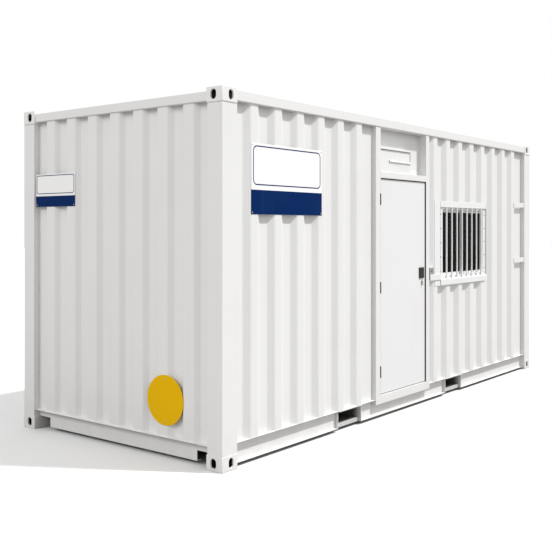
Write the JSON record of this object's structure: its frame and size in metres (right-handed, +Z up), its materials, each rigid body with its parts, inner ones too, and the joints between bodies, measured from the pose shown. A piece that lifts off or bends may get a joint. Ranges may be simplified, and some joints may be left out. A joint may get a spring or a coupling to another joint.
{
  "type": "portable site cabin",
  "caption": "Ribbed steel site cabin in a shipping-box frame with a hinged personnel door, a barred window, fork pockets and corner castings.",
  "frame": {"origin": "centre of the footprint on the ground, at the underside of the corner castings", "axes": "+X along the cabin's length, +Y from the door side to the back, +Z up"},
  "size_m": [6.058, 2.438, 2.896],
  "materials": {
    "casting_paint": "white enamel over cast steel, lightly scuffed at the edges",
    "frame_paint": "satin white enamel",
    "wall_paint": "satin white enamel on ribbed sheet",
    "roof_paint": "satin white enamel, dusty",
    "underbody_paint": "dull dark underbody coating",
    "floor_ply": "varnished plywood",
    "lining_board": "plain faced board",
    "door_paint": "smooth satin white enamel",
    "hinge_steel": "dark painted steel",
    "lock_steel": "dark grey painted steel",
    "lever_steel": "worn bright steel",
    "window_paint": "white powder coat on aluminium",
    "window_glass": "dark tinted pane",
    "keeper_steel": "white enamel over steel, dark inside",
    "sign_face": "white board with a plain dark blue band and line",
    "sign_yellow": "plain yellow board"
  },
  "bodies": {
    "cabin": {"corner_castings_bottom": "casting_paint", "corner_castings_top": "casting_paint", "corner_posts": "frame_paint", "bottom_side_rail_front": "frame_paint", "bottom_side_rail_back": "frame_paint", "bottom_end_rails": "frame_paint", "cross_members": "underbody_paint", "fork_pocket_sides": "frame_paint", "fork_pocket_tops": "frame_paint", "fork_pocket_straps": "frame_paint", "top_side_rail_front": "frame_paint", "top_side_rail_back": "frame_paint", "top_end_rails": "frame_paint", "roof_panel": "roof_paint", "floor_deck": "floor_ply", "end_wall_left": "wall_paint", "end_wall_right": "wall_paint", "back_wall": "wall_paint", "front_wall_left": "wall_paint", "front_wall_beside_window": "wall_paint", "front_wall_under_window": "wall_paint", "front_wall_over_window": "wall_paint", "front_wall_right": "wall_paint", "lining_back": "lining_board", "lining_ends": "lining_board", "lining_front_left": "lining_board", "lining_front_right": "lining_board", "lining_over_door": "lining_board", "ceiling_panel": "lining_board", "door_jambs": "frame_paint", "door_stops": "frame_paint", "door_head": "frame_paint", "door_sill": "frame_paint", "niche_panel": "frame_paint", "vent_hood": "frame_paint", "hinge_pins": "hinge_steel", "window_jambs": "frame_paint", "window_head": "frame_paint", "window_sill_box": "frame_paint", "window_frame": "window_paint", "window_sashes": "window_paint", "window_glass": "window_glass", "keeper_bracket": "keeper_steel", "strap_brackets": "frame_paint", "sign_front": "sign_face", "sign_end": "sign_face", "sign_round": "sign_yellow"},
    "door": {"door_leaf": "door_paint", "hinge_barrels": "hinge_steel", "lock_plate": "lock_steel", "lock_lever": "lever_steel"}
  },
  "joints": [
    {"name": "door_hinge", "type": "hinge", "parent": "cabin", "child": "door", "pos_m": [-0.727, -1.204, 1.256], "axis": [0, 0, -1], "range_deg": [0, 110]}
  ]
}
